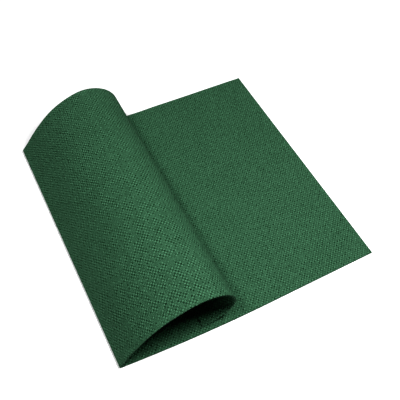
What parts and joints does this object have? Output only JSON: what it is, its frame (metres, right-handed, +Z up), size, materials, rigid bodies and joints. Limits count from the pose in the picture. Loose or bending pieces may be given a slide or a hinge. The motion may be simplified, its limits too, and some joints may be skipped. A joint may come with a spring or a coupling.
{
  "type": "woven cloth mat",
  "caption": "Thin square mat of plain-woven cloth lying flat, creased along its left edge, with the far half rolled back over it in a round-nosed loop that opens out flat.",
  "frame": {"origin": "middle of the folded mat's box, on the surface it lies on", "axes": "+X from the crease to the open right edge, +Y from the front edge to the back edge, along the crease, +Z up"},
  "size_m": [0.3016, 0.3, 0.0716],
  "materials": {
    "cloth": "matt dark green plain-woven cloth with a fine even weave, a thread every 1.8 to 1.9 mm, and slightly hairy yarn"
  },
  "bodies": {
    "base_panel": {"base_panel": "cloth"},
    "rise_strip": {"rise_strip": "cloth"},
    "crown_strip_1": {"crown_strip_1": "cloth"},
    "crown_strip_2": {"crown_strip_2": "cloth"},
    "nose_strip_1": {"nose_strip_1": "cloth"},
    "nose_strip_2": {"nose_strip_2": "cloth"},
    "nose_strip_3": {"nose_strip_3": "cloth"},
    "tuck_strip_1": {"tuck_strip_1": "cloth"},
    "tuck_strip_2": {"tuck_strip_2": "cloth"},
    "tuck_strip_3": {"tuck_strip_3": "cloth"},
    "tucked_end": {"tucked_end": "cloth"}
  },
  "joints": [
    {"name": "crease_fold", "type": "hinge", "parent": "base_panel", "child": "rise_strip", "pos_m": [-0.14923, 0, 0.002], "axis": [0, -1, 0], "range_deg": [0, 122]},
    {"name": "crown_strip_1_bend", "type": "hinge", "parent": "rise_strip", "child": "crown_strip_1", "pos_m": [-0.13124, 0, 0.03079], "axis": [0, -1, 0], "range_deg": [0, 11.51]},
    {"name": "crown_strip_2_bend", "type": "hinge", "parent": "crown_strip_1", "child": "crown_strip_2", "pos_m": [-0.10749, 0, 0.05581], "axis": [0, -1, 0], "range_deg": [0, 23.01]},
    {"name": "nose_strip_1_bend", "type": "hinge", "parent": "crown_strip_2", "child": "nose_strip_1", "pos_m": [-0.07586, 0, 0.06957], "axis": [0, -1, 0], "range_deg": [0, 26.01]},
    {"name": "nose_strip_2_bend", "type": "hinge", "parent": "nose_strip_1", "child": "nose_strip_2", "pos_m": [-0.05521, 0, 0.06867], "axis": [0, -1, 0], "range_deg": [0, 29.01]},
    {"name": "nose_strip_3_bend", "type": "hinge", "parent": "nose_strip_2", "child": "nose_strip_3", "pos_m": [-0.03759, 0, 0.05787], "axis": [0, -1, 0], "range_deg": [0, 29.01]},
    {"name": "tuck_strip_1_bend", "type": "hinge", "parent": "nose_strip_3", "child": "tuck_strip_1", "pos_m": [-0.02741, 0, 0.03988], "axis": [0, -1, 0], "range_deg": [0, 32.01]},
    {"name": "tuck_strip_2_bend", "type": "hinge", "parent": "tuck_strip_1", "child": "tuck_strip_2", "pos_m": [-0.02815, 0, 0.0229], "axis": [0, -1, 0], "range_deg": [0, 35.01]},
    {"name": "tuck_strip_3_bend", "type": "hinge", "parent": "tuck_strip_2", "child": "tuck_strip_3", "pos_m": [-0.0385, 0, 0.00941], "axis": [0, -1, 0], "range_deg": [0, 35.01]},
    {"name": "tucked_end_bend", "type": "hinge", "parent": "tuck_strip_3", "child": "tucked_end", "pos_m": [-0.05471, 0, 0.0043], "axis": [0, -1, 0], "range_deg": [0, 17.51]}
  ],
  "couplings": [
    {"joint": "crown_strip_1_bend", "follows": "crease_fold", "ratio": 0.094262},
    {"joint": "crown_strip_2_bend", "follows": "crease_fold", "ratio": 0.18852},
    {"joint": "nose_strip_1_bend", "follows": "crease_fold", "ratio": 0.21311},
    {"joint": "nose_strip_2_bend", "follows": "crease_fold", "ratio": 0.2377},
    {"joint": "nose_strip_3_bend", "follows": "crease_fold", "ratio": 0.2377},
    {"joint": "tuck_strip_1_bend", "follows": "crease_fold", "ratio": 0.2623},
    {"joint": "tuck_strip_2_bend", "follows": "crease_fold", "ratio": 0.28689},
    {"joint": "tuck_strip_3_bend", "follows": "crease_fold", "ratio": 0.28689},
    {"joint": "tucked_end_bend", "follows": "crease_fold", "ratio": 0.14344}
  ]
}
